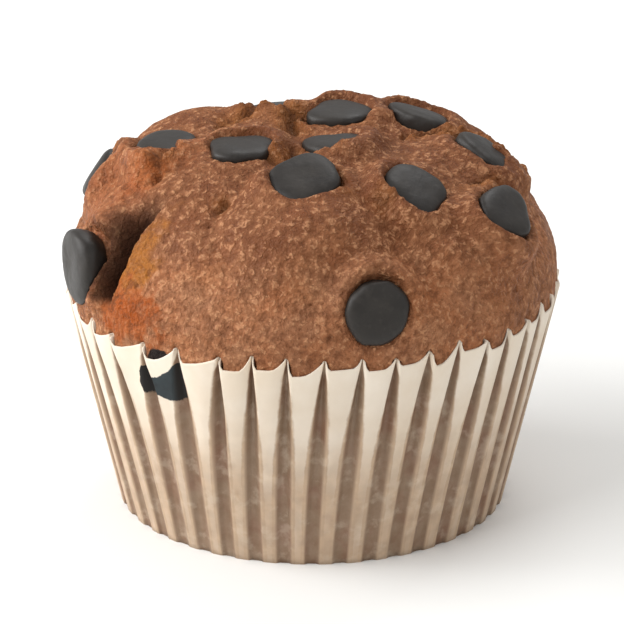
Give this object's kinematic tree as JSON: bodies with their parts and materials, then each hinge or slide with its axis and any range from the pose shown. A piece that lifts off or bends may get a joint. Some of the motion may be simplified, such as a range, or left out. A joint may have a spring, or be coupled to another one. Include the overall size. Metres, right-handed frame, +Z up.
{
  "type": "chocolate chip muffin",
  "caption": "Chocolate chip muffin whose domed, lumpy crown is set with chips, standing in a tapered, pleated paper baking case.",
  "frame": {"origin": "middle of the paper case's flat base, on the surface that the muffin stands on", "axes": "+Z up through the crown; -Y is the front, the side that the picture shows; +X is the viewer's right"},
  "size_m": [0.0839, 0.084, 0.066],
  "materials": {
    "crumb": "matte",
    "paper": "matte",
    "chocolate": "satin"
  },
  "bodies": {
    "root": {"crumb": "crumb", "paper_case": "paper", "chip_01": "chocolate", "chip_02": "chocolate", "chip_03": "chocolate", "chip_04": "chocolate", "chip_05": "chocolate", "chip_06": "chocolate", "chip_07": "chocolate", "chip_08": "chocolate", "chip_09": "chocolate", "chip_10": "chocolate", "chip_11": "chocolate", "chip_12": "chocolate", "chip_13": "chocolate", "chip_14": "chocolate", "chip_15": "chocolate", "chip_16": "chocolate"}
  },
  "joints": []
}
